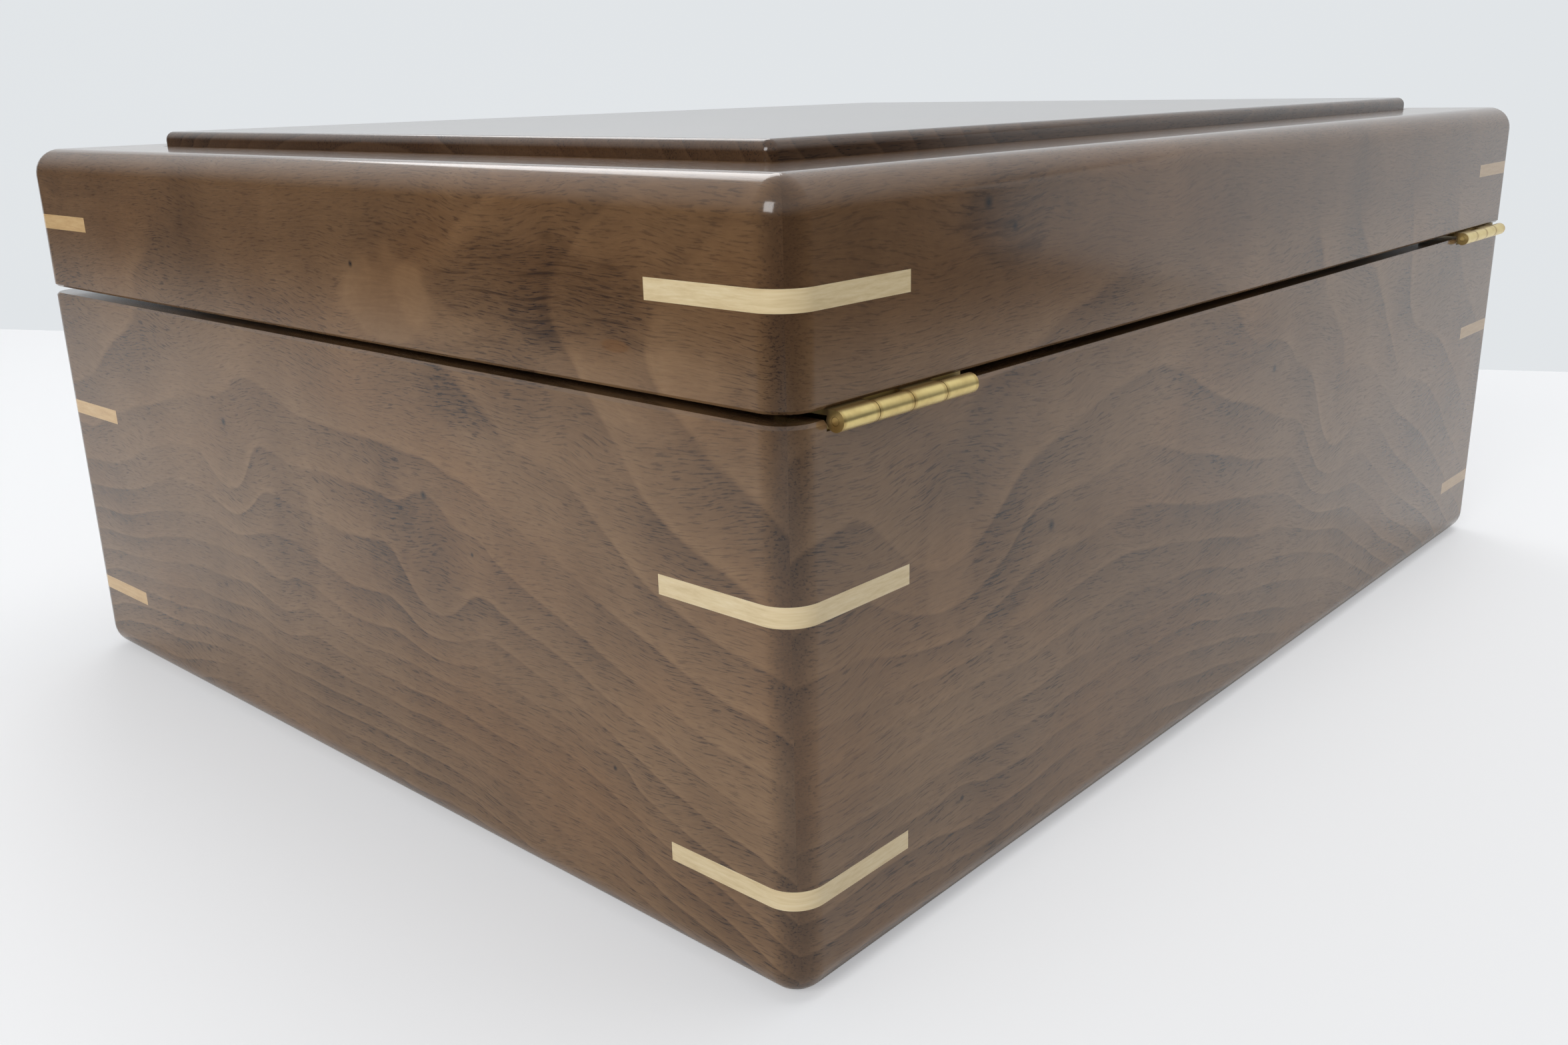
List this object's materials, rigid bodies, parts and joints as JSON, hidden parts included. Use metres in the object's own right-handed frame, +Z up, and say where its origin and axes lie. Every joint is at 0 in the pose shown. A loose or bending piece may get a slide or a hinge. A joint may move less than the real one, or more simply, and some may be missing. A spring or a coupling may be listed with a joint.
{
  "type": "hinged keepsake box",
  "caption": "Hinged rectangular wooden box with mitred, keyed corners, a raised lid panel and butt hinges along the back.",
  "frame": {"origin": "centre of the case's footprint, on the surface that it stands on", "axes": "+X along the length, +Y towards the hinged back, +Z up"},
  "size_m": [0.3048, 0.2369, 0.125],
  "materials": {
    "walnut": "clear satin lacquer",
    "walnut_field": "clear gloss lacquer",
    "walnut_panel": "clear satin lacquer",
    "maple": "clear satin lacquer",
    "brass": "polished",
    "brass_screw": "polished"
  },
  "bodies": {
    "base": {"base_back_wall": "walnut", "base_bottom_panel": "walnut_panel", "base_front_wall": "walnut", "base_left_wall": "walnut", "base_right_wall": "walnut", "hinge_left_base_leaf": "brass", "hinge_left_base_screw_1": "brass_screw", "hinge_left_base_screw_2": "brass_screw", "hinge_left_pin": "brass", "hinge_right_base_leaf": "brass", "hinge_right_base_screw_1": "brass_screw", "hinge_right_base_screw_2": "brass_screw", "hinge_right_pin": "brass", "key_high_back_left": "maple", "key_high_back_right": "maple", "key_high_front_left": "maple", "key_high_front_right": "maple", "key_low_back_left": "maple", "key_low_back_right": "maple", "key_low_front_left": "maple", "key_low_front_right": "maple"},
    "lid": {"hinge_left_lid_leaf": "brass", "hinge_left_lid_screw_1": "brass_screw", "hinge_left_lid_screw_2": "brass_screw", "hinge_right_lid_leaf": "brass", "hinge_right_lid_screw_1": "brass_screw", "hinge_right_lid_screw_2": "brass_screw", "key_lid_back_left": "maple", "key_lid_back_right": "maple", "key_lid_front_left": "maple", "key_lid_front_right": "maple", "lid_back_wall": "walnut", "lid_front_wall": "walnut", "lid_left_wall": "walnut", "lid_panel": "walnut_field", "lid_right_wall": "walnut"}
  },
  "joints": [
    {"name": "lid_hinge", "type": "hinge", "parent": "base", "child": "lid", "pos_m": [0, 0.1184, 0.0894], "axis": [-1, 0, 0], "range_deg": [0, 180]}
  ]
}
